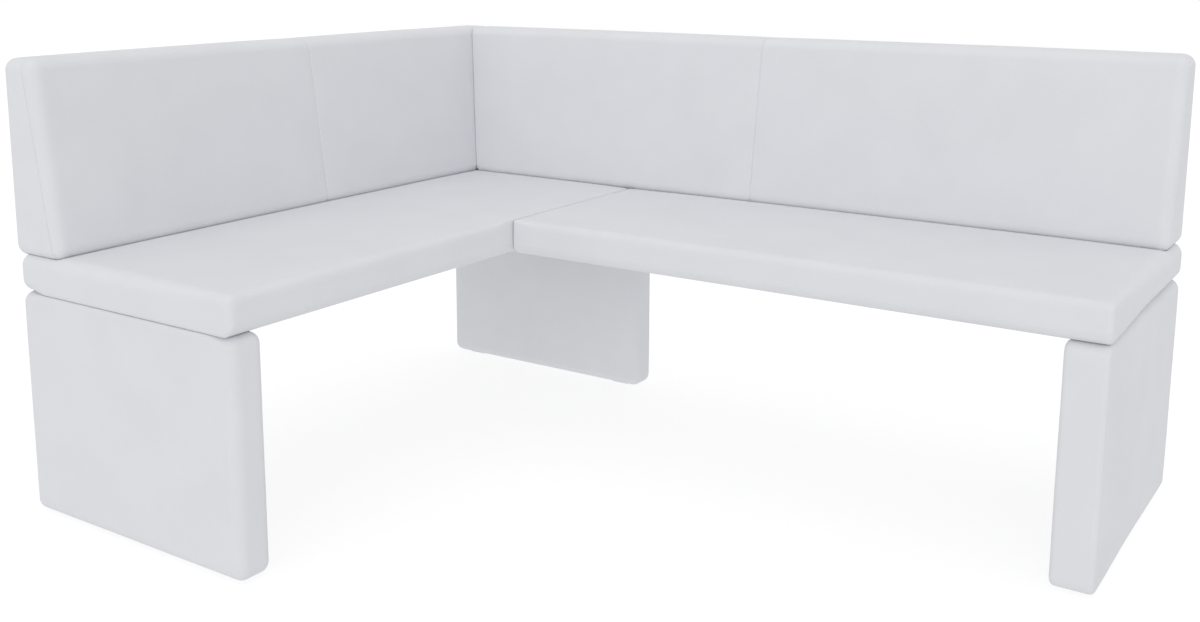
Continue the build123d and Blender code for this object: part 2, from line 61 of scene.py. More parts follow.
# Soft edges
SEAT_EDGE = 0.023
SEAT_FRONT_EDGE = 0.014  # seats' front edges at the top, and the short seat's front corner
LONG_CORNER_EDGE = 0.009  # long seat's front corner at its free end, and the right leg's below it
LEG_EDGE = 0.020
FRONT_LEG_TOP_EDGE = 0.004  # long edges of the front leg where the seat stands on it
SHORT_END_FOOT_EDGE = 0.006  # and the seat's edge above them
FOOT_FADE = 3 * SEAT_EDGE  # which starts to turn round this far before the wall side
LEG_TOP_FADE = 2 * LEG_EDGE  # a leg's face edges start to turn tight this far below its top
LEG_CORNER_FADE = 3 * LEG_EDGE  # and are tight this far from its ends
BACK_EDGE = 0.022
CORNER_EDGE = 0.003  # long backrest's end at the corner
PANEL_EDGE = 0.0025  # rear panels of the backrests

# Joint between the seats
JOINT_EDGE = 0.005  # long seat's end where the seats press together
JOINT_SIDE_EDGE = 0.0012  # and the short seat's side
JOINT_OPEN = 0.0015  # more of a gap than between the solids, so that the joint shows
JOINT_HOLE = 0.012  # depth and half width of the gap left at the joint under a backrest's foot
JOINT_HOLE_HALF = 0.012
JOINT_FADE = 0.070  # an edge turns tight over this length before the joint

# Backrests
BACK_FOOT = 0.133  # thickness at the foot
BACK_CREST = 0.086  # and at the top, so the front leans back
BACK_MIDDLE = 0.110  # and about half way up
BACK_SETBACK = 0.0045  # free end of a backrest, in from the end of its seat
CORNER_GAP = 0.0003  # between the backrests at the corner
CORNER_FADE = (0.02, 0.25)  # the long backrest's end leans, and this far from it the lean fades
PANEL_PROUD = 0.0008  # how far a rear panel stands out
RIM_DEPTH = 0.002  # dip of the cover round a rear panel
RIM_HALF = 0.004
REAR_FACING = (0.5, 1.0)  # where a backrest counts as its rear, by the way it faces
END_FACING = (0.25, 0.7)  # and as its end

# Seams, measured from a backrest's free end and from its wall side
SHORT_SEAM = 0.6535
LONG_SEAM = 0.8275
SEAM_STOP = 0.030  # a front seam ends this far from the wall side
SEAM_FADE = 0.008  # and fades over this length
END_SEAM_FOOT = 0.018  # end seam behind the front face, at the foot
END_SEAM_CREST = 0.030  # and at the top
SEAM_SHARE = 0.75  # share of a backrest's dividing lines behind its end seam
SEAM_DEPTH = 0.0020
SEAM_HALF = 0.0014
END_SEAM_DEPTH = 0.0020
END_SEAM_HALF = 0.0012
SHOULDER_DEPTH = 0.0007  # broad dip of the padding along a seam
SHOULDER_HALF = 0.011
STITCH = 0.009
STITCH_LINES = 3  # dividing lines to a stitch
PUCKER = 0.22  # how much the broad dip varies from stitch to stitch

# Padding
SEAT_CROWN = 0.0026
SIDE_CROWN = 0.0012
BACK_CROWN = 0.0024
BACK_TOP_CROWN = 0.4 * BACK_CROWN
LEG_CROWN = 0.0016
UNEVEN = 0.00022
PANEL_UNEVEN = 0.0003
SEAT_WAVE = 0.22  # typical length of the unevenness on a seat, a backrest, a leg and a rear panel
BACK_WAVE = 0.24
LEG_WAVE = 0.2
PANEL_WAVE = 0.2
WAVES = 7  # how many waves add up to it
WAVE_SPREAD = (0.6, 1.7)  # their lengths as shares of the typical one
WAVE_SUM = 4  # divides their sum
SEAT_SEED = 3
PANEL_SEED = 11
CONTACT = 0.0004  # gap between a backrest and the seat under it
LIP = 0.0022  # roundness of the seat's padding where a backrest presses into it
OUTSIDE_RISE = 4  # slope of a backrest's underside beyond its outline, where it presses on nothing
PRESSED_FACING = 0.2  # backrests press on what faces up by more than this, where 1 is straight up
UNDER_FACING = -0.5  # a seat's underside, which is smooth, faces up by less than this

# Dividing lines
EDGE_STEPS = (0.0, 0.16, 0.33, 0.5, 0.68, 0.86, 1.06)  # by an edge, in shares of its radius
EDGE_SPAN = 1.2  # closer lines by a tight edge reach in by this many of its radii
EDGE_PARTS = 5  # of them to a radius
PITCH = 0.012
PANEL_PITCH = 0.02
FADE_PITCH = 0.004  # where an edge changes
FRONT_PITCH = 0.0015  # by the tighter front edges and round the rear panels
TIGHT_PITCH = 0.0012  # by the tight edges near the joint
JOINT_PITCH = 0.0007
JOINT_SPAN = 0.018  # closely divided length beside the joint
JOINT_PAST = 0.01  # and past it
SIDE_PITCH = 0.00045  # short seat's side at the joint
SIDE_SPAN = 0.0018
PRESS_PITCH = 0.0011  # where a backrest's front presses into a seat
PRESS_SPAN = (-0.010, 0.022)  # from before to behind that front
SEAM_LINES = ((0.006, 0.0006), (0.030, 0.003))  # half width and pitch by a front seam
END_SEAM_LINES = ((0.005, 0.0005), (0.02, 0.003))  # and by an end seam
RIM_OUT = 0.006  # round a rear panel
RIM_IN = 0.003
CLOSEST = 0.0004  # lines closer together than this become one
TINY = 1e-9  # stands in for a length of nothing in a division

# Screw heads
HEAD_RINGS = (0.0, 0.0006, 0.0013, 0.002, 0.0028, 0.0036, 0.0042, 0.0045)  # radii from the middle out
HEAD_TURNS = 24
HEAD_HEIGHT = 0.0019
HEAD_DOME = 0.0046  # radius at which the dome would come down to nothing
SLOT_HALF = 0.00055
SLOT_DEPTH = 0.0011
SLOT_REACH = 0.0024
NO_SCREW_WAY = (0.3, 0.5, 0.8)  # a way that no screw faces
BRACKET_THICKNESS = 0.003
BRACKET_SCREW_ASIDE = 0.011  # screws from a bracket's middle line
BRACKET_SCREW_ALONG = 0.033  # and from its bend
PLATE_SCREW_END = 0.013  # screws from a joint plate's ends
PLATE_SCREW_SIDE = 0.011  # and from its sides
SAME_SIZE = 0.001  # sides that differ by less count as equal
SAME_PLACE = 6  # decimals in which the corners of touching faces agree

# Cloth under the seats
LINING_LINES = 48
LINING_LIFT = 0.0002  # edge of the cloth above the underside of its solid
LINING_SAG = 0.0022
STAPLE_INSET = 0.008
STAPLE_PITCH = 0.07
STAPLE_DROP = 0.0003  # middle of a staple below it
STAPLE_HALF = (0.0006, 0.0006, 0.0004)
STAPLE_HALF_LENGTH = 0.005

# Floor, light and camera
FLOOR_HALF = 12.0
FLOOR_GLOW = 0.77  # light that the floor sends up, as a lit white floor does
FLOOR_SEEN = 0.76  # its share of the white that the camera sees, so that the shadow still shows
FLOOR_MATTE = 0.10  # what the floor reflects of the light on it
FLOOR_MATTE_SEEN = 0.30  # and what the camera sees of that
SKY = 0.81  # light from all round
LENS = 40.1
SENSOR = 36.0
SHIFT_X = 0.0271
SHIFT_Y = -0.10
FAR_CLIP = 50
CAMERA_PLACE = (1.2753, -1.9937, 1.0072)
CAMERA_DOWN = 10.188  # degrees below level
CAMERA_TURN = 34.507  # degrees from +Y towards -X

# Places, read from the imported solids
SHORT_LOW, SHORT_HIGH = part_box("short_seat_cover")
LONG_LOW, LONG_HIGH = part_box("long_seat_cover")
X_JOINT = SHORT_HIGH.x
Y_FRONT = SHORT_LOW.y
Y_JOINT = LONG_LOW.y
SHORT_RUN = SHORT_HIGH.y - SHORT_LOW.y
SEAT_DEPTH = SHORT_HIGH.x - SHORT_LOW.x
HALF_DEPTH = SEAT_DEPTH / 2
LONG_LENGTH = LONG_HIGH.x - X_JOINT
JOINT_GAP = LONG_LOW.x - X_JOINT
SEAT_BOTTOM = SHORT_LOW.z
SEAT_TOP = SHORT_HIGH.z
SEAT_MIDDLE = (SEAT_BOTTOM + SEAT_TOP) / 2
WALL = X_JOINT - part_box("short_back_cover")[0].x
SHORT_END = SHORT_RUN + WALL - SEAT_DEPTH
LONG_END = LONG_LENGTH - BACK_SETBACK
BACK_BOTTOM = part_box("short_back_cover")[0].z
BACK_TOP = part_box("short_back_cover")[1].z
LEAN = (BACK_FOOT - BACK_CREST) / (BACK_TOP - BACK_BOTTOM)
LEAN_LENGTH = math.hypot(1, LEAN)


# Meshes


def short_arm(points):
    """Short arm's u, w and z in the shared frame."""
    return np.stack([X_JOINT - points[:, 1], Y_FRONT + points[:, 0], points[:, 2]], axis=1)


def long_arm(points):
    """Long arm's u, w and z in the shared frame."""
    return np.stack([X_JOINT + points[:, 0], Y_JOINT + points[:, 1], points[:, 2]], axis=1)


def lines(low, high, low_edge, high_edge, pitch=PITCH, fine=()):
    """Dividing lines from low to high, close together by both edges and within the fine stretches."""
    marks = [low + low_edge * share for share in EDGE_STEPS]
    marks += [high - high_edge * share for share in EDGE_STEPS]
    for start, end, fine_pitch in fine:
        count = max(1, round((end - start) / fine_pitch))
        marks += [start + (end - start) * i / count for i in range(count + 1)]
    out = [low]
    for mark in sorted(mark for mark in marks if low < mark <= high):
        gap = mark - out[-1]
        if gap > CLOSEST:
            count = math.ceil(gap / pitch)
            start = out[-1]
            out += [start + gap * i / count for i in range(1, count + 1)]
    out[-1] = high
    return np.array(out)


def shell(u_lines, w_lines, z_lines):
    """Points and faces of a closed box divided at the given lines."""
    grid = np.stack(np.meshgrid(u_lines, w_lines, z_lines, indexing="ij"), axis=-1)
    outside = np.zeros(grid.shape[:3], bool)
    outside[[0, -1]] = True
    outside[:, [0, -1]] = True
    outside[:, :, [0, -1]] = True
    index = np.zeros(grid.shape[:3], int)
    index[outside] = np.arange(outside.sum())
    faces = []
    for axis in range(3):
        for side in (0, -1):
            sheet = np.take(index, side, axis=axis)
            ring = [sheet[:-1, :-1], sheet[1:, :-1], sheet[1:, 1:], sheet[:-1, 1:]]
            quads = np.stack(ring, axis=-1).reshape(-1, 4)
            inward = (side == 0) != (axis == 1)
            faces.append(quads[:, ::-1] if inward else quads)
    return grid[outside], np.concatenate(faces)


def piece(name, points, faces, material):
    """Smooth mesh object that rides with the bench."""
    mesh = bpy.data.meshes.new(name)
    mesh.from_pydata(points.tolist(), [], faces.tolist())
    mesh.polygons.foreach_set("use_smooth", [True] * len(mesh.polygons))
    mesh.materials.append(material)
    mesh.update()
    thing = bpy.data.objects.new(name, mesh)
    bpy.context.scene.collection.objects.link(thing)
    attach(thing, "root")
    return thing


def bell(distance, half):
    """One at zero, falling off smoothly over the half width."""
    return np.exp(-((distance / half) ** 2))


def step(value, low, high):
    """Smooth rise from 0 at low to 1 at high."""
    t = np.clip((value - low) / (high - low), 0, 1)
    return t * t * (3 - 2 * t)


def lesser(a, b, blend):
    """Smooth minimum of two heights."""
    share = np.clip(0.5 + 0.5 * (b - a) / blend, 0, 1)
    return b * (1 - share) + a * share - blend * share * (1 - share)


def dome(value, low, high):
    """One in the middle of a span, falling to nothing at both ends, flat for most of the way."""
    t = np.clip(2 * (value - low) / (high - low) - 1, -1, 1)
    return 1 - t**4


def uneven(points, seed, length):
    """Gentle unevenness of stretched cover over foam, between about -1 and 1."""
    generator = np.random.default_rng(seed)
    total = np.zeros(len(points))
    for _ in range(WAVES):
        way = generator.normal(size=3)
        way /= np.linalg.norm(way)
        wave = length * generator.uniform(*WAVE_SPREAD)
        total += np.sin(points @ way * 2 * math.pi / wave + generator.uniform(0, 2 * math.pi))
    return total / WAVE_SUM


# Slabs: seats and legs


def round_ends(u, across, out, depth, low, high, end):
    """Rounds both ends of a soft form all the way round its cross-section. Depth is how far each point lies
    inside the outline and out the way to it. Gives the points and the way each one faces."""
    late = u > (low + high) / 2
    from_end = np.where(late, high - u, u - low)
    turn = np.stack([np.minimum(depth - end, 0), np.minimum(from_end - end, 0)], axis=1)
    turn /= np.maximum(np.linalg.norm(turn, axis=1, keepdims=True), TINY)
    new_depth = np.maximum(depth, end) + end * turn[:, 0]
    new_from_end = np.maximum(from_end, end) + end * turn[:, 1]
    across = across - out * (new_depth - depth)[:, None]
    new_u = np.where(late, high - new_from_end, low + new_from_end)
    facing_u = np.where(late, -turn[:, 1], turn[:, 1])
    return np.column_stack([new_u, across]), np.column_stack([facing_u, -out * turn[:, :1]])


def outward(across, inner):
    """Unit way from an inner form to each point of a cross-section."""
    off = across - inner
    return off / np.maximum(np.linalg.norm(off, axis=1, keepdims=True), TINY)


def slab(low, high, section_edge, end_edge, u_lines, w_lines, z_lines):
    """Slab whose cross-section has soft corners and whose ends are rounded all the way round.
    Gives its points, the way each one faces and its faces."""
    points, faces = shell(u_lines, w_lines, z_lines)
    across = points[:, 1:]
    edge = section_edge(points)[:, None]
    inner = np.clip(across, low[1:] + edge, high[1:] - edge)
    most = (np.abs(across - inner) / edge).max(axis=1, keepdims=True)
    gaps = np.hstack([across - low[1:], high[1:] - across])
    sides = np.vstack([-np.eye(2), np.eye(2)])
    # points of the two ends that lie inside the soft corners go by their nearest side
    flat = most == 0
    out = np.where(flat, sides[gaps.argmin(axis=1)], outward(across, inner))
    depth = np.where(flat, gaps.min(axis=1, keepdims=True), edge * (1 - most))[:, 0]
    across = inner + out * edge * most
    rounded, facing = round_ends(points[:, 0], across, out, depth, low[0], high[0], end_edge(points))
    return rounded, facing, faces


def even(value):
    """Edge radius that is the same at every point."""
    return lambda points: np.full(len(points), value)


def back_underside(into_front, into_end):
    """Height of a backrest's soft underside, from a point's distance behind its front and inside its end."""
    front = np.maximum(BACK_EDGE - into_front, 0)
    end = np.maximum(BACK_EDGE - into_end, 0)
    off = np.hypot(front, end)
    round_up = BACK_EDGE - np.sqrt(np.maximum(BACK_EDGE**2 - off**2, 0))
    return BACK_BOTTOM + round_up + np.maximum(off - BACK_EDGE, 0) * OUTSIDE_RISE


def press_lines(front):
    """Stretch of close dividing lines where a backrest's front presses into a seat."""
    return front + PRESS_SPAN[0], front + PRESS_SPAN[1], PRESS_PITCH


def seat_relief(points, facing, length, under):
    """Crown, full sides and unevenness of a seat, and the hollow that the backrests press into it."""
    u, w, z = points.T
    crown = SEAT_CROWN * dome(u, 0, length) * dome(w, 0, SEAT_DEPTH) * np.maximum(facing[:, 2], 0)
    sides = SIDE_CROWN * dome(z, SEAT_BOTTOM, SEAT_TOP) * (1 - facing[:, 2] ** 2)
    rough = UNEVEN * uneven(points, SEAT_SEED, SEAT_WAVE) * (facing[:, 2] > UNDER_FACING)
    out = points + facing * (crown + sides + rough)[:, None]
    pressed = facing[:, 2] > PRESSED_FACING
    out[pressed, 2] = lesser(out[pressed, 2], under[pressed] - CONTACT, LIP)
    out[:, 2] = np.maximum(out[:, 2], SEAT_BOTTOM)
    return out


def short_seat():
    """Seat of the short arm. It takes the corner, and its side is tight where the long seat meets it."""
    low = np.array([0, 0, SEAT_BOTTOM])
    high = np.array([SHORT_RUN, SEAT_DEPTH, SEAT_TOP])
    joint = SHORT_RUN - SEAT_DEPTH
    front = WALL - BACK_FOOT
    corner = SHORT_END - BACK_FOOT

    def section_edge(points):
        u, w, z = points.T
        # the lower edge turns tight only past the front of the long seat
        later = np.where(z > SEAT_MIDDLE, 0, JOINT_FADE)
        tight = (w < HALF_DEPTH) * step(u - later, joint - JOINT_FADE, joint)
        edge = np.where((w < HALF_DEPTH) & (z > SEAT_MIDDLE), SEAT_FRONT_EDGE, SEAT_EDGE)
        return edge + (JOINT_SIDE_EDGE - edge) * tight

    def end_edge(points):
        u, w, z = points.T
        tight = (u > joint) * (1 - step(w, 0, JOINT_FADE))
        foot = 1 - step(z, SEAT_BOTTOM + SHORT_END_FOOT_EDGE, SEAT_BOTTOM + EDGE_SPAN * SEAT_EDGE)
        foot *= (u < joint) * (1 - step(w, SEAT_DEPTH - FOOT_FADE, SEAT_DEPTH - SEAT_EDGE))
        edge = SEAT_FRONT_EDGE + (SEAT_EDGE - SEAT_FRONT_EDGE) * step(w, 0, HALF_DEPTH)
        edge = np.where(u > joint, SEAT_EDGE, edge)
        edge += (JOINT_SIDE_EDGE - edge) * tight
        return edge + (SHORT_END_FOOT_EDGE - edge) * foot

    u_lines = lines(0, SHORT_RUN, SEAT_EDGE, SEAT_EDGE, fine=[
        (0, EDGE_SPAN * SHORT_END_FOOT_EDGE, SHORT_END_FOOT_EDGE / EDGE_PARTS),
        (joint - JOINT_FADE, joint + JOINT_PAST, FADE_PITCH),
        press_lines(corner),
        (SHORT_RUN - EDGE_SPAN * JOINT_EDGE, SHORT_RUN, TIGHT_PITCH),
    ])
    w_lines = lines(0, SEAT_DEPTH, SEAT_EDGE, SEAT_EDGE, fine=[
        (0, SIDE_SPAN, SIDE_PITCH),
        (SIDE_SPAN, JOINT_SPAN, FRONT_PITCH),
        press_lines(front),
    ])
    z_lines = lines(SEAT_BOTTOM, SEAT_TOP, SEAT_EDGE, SEAT_EDGE, fine=[
        (SEAT_BOTTOM, SEAT_BOTTOM + EDGE_SPAN * SHORT_END_FOOT_EDGE, SHORT_END_FOOT_EDGE / EDGE_PARTS),
        (SEAT_TOP - EDGE_SPAN * JOINT_EDGE, SEAT_TOP, TIGHT_PITCH),
    ])
    points, facing, faces = slab(low, high, section_edge, end_edge, u_lines, w_lines, z_lines)
    u, w, _ = points.T
    under = np.minimum(
        back_underside(w - front, u - BACK_SETBACK),
        back_underside(u - corner, math.inf) - JOINT_HOLE * bell(w, JOINT_HOLE_HALF),
    )
    points = seat_relief(points, facing, SHORT_RUN, under)
    seat = piece("short_seat_upholstery", short_arm(points), faces, LEATHER)
    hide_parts("short_seat_cover", "short_seat_foam")


def long_seat():
    """Seat of the long arm, tight at the end that meets the short seat."""
    start = JOINT_GAP + JOINT_OPEN
    low = np.array([start, 0, SEAT_BOTTOM])
    high = np.array([LONG_LENGTH, SEAT_DEPTH, SEAT_TOP])
    front = WALL - BACK_FOOT

    def section_edge(points):
        u, w, z = points.T
        front_edge = np.where(z > SEAT_MIDDLE, SEAT_FRONT_EDGE, SEAT_EDGE)
        edge = np.where(w < HALF_DEPTH, front_edge, SEAT_EDGE)
        tight = (1 - step(u, 0, JOINT_FADE)) * ((w > HALF_DEPTH) | (z > SEAT_MIDDLE))
        return edge + (JOINT_EDGE - edge) * tight

    def end_edge(points):
        u, w, _ = points.T
        edge = LONG_CORNER_EDGE + (SEAT_EDGE - LONG_CORNER_EDGE) * step(w, 0, HALF_DEPTH)
        return np.where(u < LONG_LENGTH / 2, JOINT_EDGE, edge)

    u_lines = lines(start, LONG_LENGTH, JOINT_EDGE, SEAT_EDGE, fine=[
        (start, JOINT_SPAN, FRONT_PITCH),
        (JOINT_SPAN, JOINT_FADE, FADE_PITCH),
        (LONG_LENGTH - EDGE_SPAN * LONG_CORNER_EDGE, LONG_LENGTH, FRONT_PITCH),
    ])
    w_lines = lines(0, SEAT_DEPTH, SEAT_EDGE, SEAT_EDGE, fine=[
        (0, EDGE_SPAN * JOINT_EDGE, JOINT_PITCH),
        (EDGE_SPAN * JOINT_EDGE, SEAT_FRONT_EDGE, FRONT_PITCH),
        press_lines(front),
        (SEAT_DEPTH - EDGE_SPAN * JOINT_EDGE, SEAT_DEPTH, TIGHT_PITCH),
    ])
    z_lines = lines(SEAT_BOTTOM, SEAT_TOP, SEAT_EDGE, SEAT_EDGE, fine=[
        (SEAT_BOTTOM, SEAT_BOTTOM + EDGE_SPAN * JOINT_EDGE, TIGHT_PITCH),
        (SEAT_TOP - EDGE_SPAN * JOINT_EDGE, SEAT_TOP, TIGHT_PITCH),
    ])
    points, facing, faces = slab(low, high, section_edge, end_edge, u_lines, w_lines, z_lines)
    u, w, _ = points.T
    under = back_underside(w - front, LONG_END - u)
    under -= JOINT_HOLE * bell(u, JOINT_HOLE_HALF)
    points = seat_relief(points, facing, LONG_LENGTH, under)
    seat = piece("long_seat_upholstery", long_arm(points), faces, LEATHER)
    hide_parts("long_seat_cover", "long_seat_foam")


def leg(name, seed, front_edge=LEG_EDGE, top_edge=LEG_EDGE):
    """Covered panel leg, full on its faces and flat where the seat stands on it. The edges of its two faces
    may be tighter at the front and at the top."""
    low, high = (np.array(corner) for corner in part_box(f"{name}_cover"))
    size = high - low
    order = [0, 1, 2] if size[0] < size[1] else [1, 0, 2]

    def face_edge(points):
        _, along, up = points.T
        start, end = low[order[1]], high[order[1]]
        edge = front_edge + (LEG_EDGE - front_edge) * step(along, start, (start + end) / 2)
        upper = step(up, high[2] - LEG_TOP_FADE, high[2] - top_edge)
        upper *= step(np.minimum(along - start, end - along), LEG_EDGE, LEG_CORNER_FADE)
        return edge + (top_edge - edge) * upper

    tight = EDGE_SPAN * FRONT_LEG_TOP_EDGE
    tight_pitch = FRONT_LEG_TOP_EDGE / EDGE_PARTS
    sides = [
        lines(low[axis], high[axis], LEG_EDGE, LEG_EDGE, fine=[
            (low[axis], low[axis] + tight, tight_pitch),
            (high[axis] - tight, high[axis], tight_pitch),
        ])
        for axis in order
    ]
    points, facing, faces = slab(low[order], high[order], even(LEG_EDGE), face_edge, *sides)
    points = points[:, order]
    facing = facing[:, order]
    if order[0] == 1:
        faces = faces[:, ::-1]
    full = np.ones(len(points))
    for axis in range(3):
        if axis != order[0]:
            full *= dome(points[:, axis], low[axis], high[axis])
    level = 1 - facing[:, 2] ** 2
    swell = LEG_CROWN * full + UNEVEN * uneven(points, seed, LEG_WAVE)
    points = points + facing * (swell * level)[:, None]
    panel = piece(f"{name}_upholstery", points, faces, LEATHER)
    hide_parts(f"{name}_cover", f"{name}_foam")


# Backrests


def reach(z):
    """Distance of a backrest's front from its wall side at a height."""
    return BACK_FOOT - (z - BACK_BOTTOM) * LEAN


def seam_reach(z):
    """Distance of a backrest's end seam from its wall side at a height."""
    rise = (z - BACK_BOTTOM) / (BACK_TOP - BACK_BOTTOM)
    behind = END_SEAM_FOOT + (END_SEAM_CREST - END_SEAM_FOOT) * rise
    return reach(z) - behind * LEAN_LENGTH


def wedge_inner(t, z):
    """Nearest point of the wedge that lies one edge radius inside a backrest's cross-section."""
    edge = BACK_EDGE
    low = BACK_BOTTOM + edge
    high = BACK_TOP - edge
    over = (t - reach(z)) / LEAN_LENGTH + edge
    past = np.maximum(over, 0)
    t_front = t - past / LEAN_LENGTH
    z_front = z - past * LEAN / LEAN_LENGTH
    inner_z = np.clip(np.where(over > 0, z_front, z), low, high)
    limit = reach(inner_z) - edge * LEAN_LENGTH
    inner_t = np.where(inner_z == z_front, t_front, t)
    return np.clip(inner_t, edge, limit), inner_z


def backrest(name, arm, start, end, start_edge, seam, end_seam_at, bare_end, corner_lean, seed):
    """Wedge backrest with one seam up its front and over its top, and one up its free end.
    The bare end is where its front stops showing."""
    panel_low, panel_high = (np.array(corner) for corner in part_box(f"{name}_back_rear_panel"))
    along = 1 if name == "short" else 0
    origin = Y_FRONT if name == "short" else X_JOINT
    panel_u = (panel_low[along] - origin, panel_high[along] - origin)
    panel_z = (panel_low[2], panel_high[2])
    # s goes from 0 at the wall side to 1 at the front, and t is the distance from the wall side
    share = 1 / BACK_MIDDLE
    u_lines = lines(start, end, start_edge, BACK_EDGE, fine=[
        *((seam - half, seam + half, pitch) for half, pitch in SEAM_LINES),
        (panel_u[0] - RIM_OUT, panel_u[0] + RIM_IN, FRONT_PITCH),
        (panel_u[1] - RIM_IN, panel_u[1] + RIM_OUT, FRONT_PITCH),
    ])
    s_lines = lines(0, 1, BACK_EDGE * share, BACK_EDGE * share, pitch=PITCH * share, fine=[
        (SEAM_SHARE - half * share, SEAM_SHARE + half * share, pitch * share)
        for half, pitch in END_SEAM_LINES
    ])
    z_lines = lines(BACK_BOTTOM, BACK_TOP, BACK_EDGE, BACK_EDGE, pitch=STITCH / STITCH_LINES)
    points, faces = shell(u_lines, s_lines, z_lines)
    u, s, z = points.T
    seam_t = seam_reach(z)
    t = np.where(
        s < SEAM_SHARE,
        s / SEAM_SHARE * seam_t,
        seam_t + (s - SEAM_SHARE) / (1 - SEAM_SHARE) * (reach(z) - seam_t),
    )
    across = np.stack([t, z], axis=1)
    inner = np.stack(wedge_inner(t, z), axis=1)
    offs = [
        1 + (t - reach(z)) / LEAN_LENGTH / BACK_EDGE,
        1 - t / BACK_EDGE,
        1 - (z - BACK_BOTTOM) / BACK_EDGE,
        1 - (BACK_TOP - z) / BACK_EDGE,
    ]
    most = np.clip(np.max(offs, axis=0), 0, 1)
    out = outward(across, inner)
    across = inner + out * BACK_EDGE * most[:, None]
    end_edge = np.where(u < (start + end) / 2, start_edge, BACK_EDGE)
    rounded, facing = round_ends(u, across, out, BACK_EDGE * (1 - most), start, end, end_edge)
    u, t, z = rounded.T

    front = np.maximum(facing[:, 1], 0)
    rear = np.maximum(-facing[:, 1], 0)
    upper = np.maximum(facing[:, 2], 0)
    halves = np.where(u < seam, dome(u, start, seam), dome(u, seam, bare_end))
    swell = BACK_CROWN * halves * dome(z, BACK_BOTTOM, BACK_TOP) * front
    swell += BACK_TOP_CROWN * halves * upper
    swell += UNEVEN * uneven(rounded, seed, BACK_WAVE) * (front + upper)

    pucker = 1 + PUCKER * np.cos(2 * math.pi * z / STITCH)
    sewn = step(t, SEAM_STOP, SEAM_STOP + SEAM_FADE)
    swell -= SEAM_DEPTH * bell(u - seam, SEAM_HALF) * sewn
    swell -= SHOULDER_DEPTH * bell(u - seam, SHOULDER_HALF) * sewn * pucker

    at_end = facing[:, 0] if end_seam_at == end else -facing[:, 0]
    at_end = step(at_end, *END_FACING)
    swell -= END_SEAM_DEPTH * bell(t - seam_reach(z), END_SEAM_HALF) * at_end
    swell -= SHOULDER_DEPTH * bell(t - seam_reach(z), SHOULDER_HALF) * at_end * pucker

    off_u = np.maximum(np.maximum(panel_u[0] - u, u - panel_u[1]), 0)
    off_z = np.maximum(np.maximum(panel_z[0] - z, z - panel_z[1]), 0)
    swell -= RIM_DEPTH * bell(np.hypot(off_u, off_z), RIM_HALF) * step(rear, *REAR_FACING)

    shaped = rounded + facing * swell[:, None]
    u, t, z = shaped.T
    if corner_lean:
        fade = 1 - step(u, start + CORNER_FADE[0], start + CORNER_FADE[1])
        u = u + (reach(z) - BACK_FOOT) * fade
    shaped = np.stack([u, WALL - t, z], axis=1)
    back = piece(f"{name}_back_upholstery", arm(shaped), faces, LEATHER)
    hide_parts(f"{name}_back_cover", f"{name}_back_foam")


def rear_panel(name):
    """Covered board in the back of a backrest, with turned edges, standing a little proud."""
    low, high = (np.array(corner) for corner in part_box(f"{name}_back_rear_panel"))
    if name == "short":
        low[0] -= PANEL_PROUD
    else:
        high[1] += PANEL_PROUD
    sides = [lines(a, b, PANEL_EDGE, PANEL_EDGE, pitch=PANEL_PITCH) for a, b in zip(low, high)]
    points, facing, faces = slab(low, high, even(PANEL_EDGE), even(PANEL_EDGE), *sides)
    points = points + facing * (PANEL_UNEVEN * uneven(points, PANEL_SEED, PANEL_WAVE))[:, None]
    panel = piece(f"{name}_back_rear_cover", points, faces, LEATHER)
    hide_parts(f"{name}_back_rear_panel")


# Materials


def srgb(*values):
    """Colour in 0 to 255 as a linear colour with alpha."""
    shares = [value / 255 for value in values]
    linear = [v / 12.92 if v <= 0.04045 else ((v + 0.055) / 1.055) ** 2.4 for v in shares]
    return (*linear, 1)


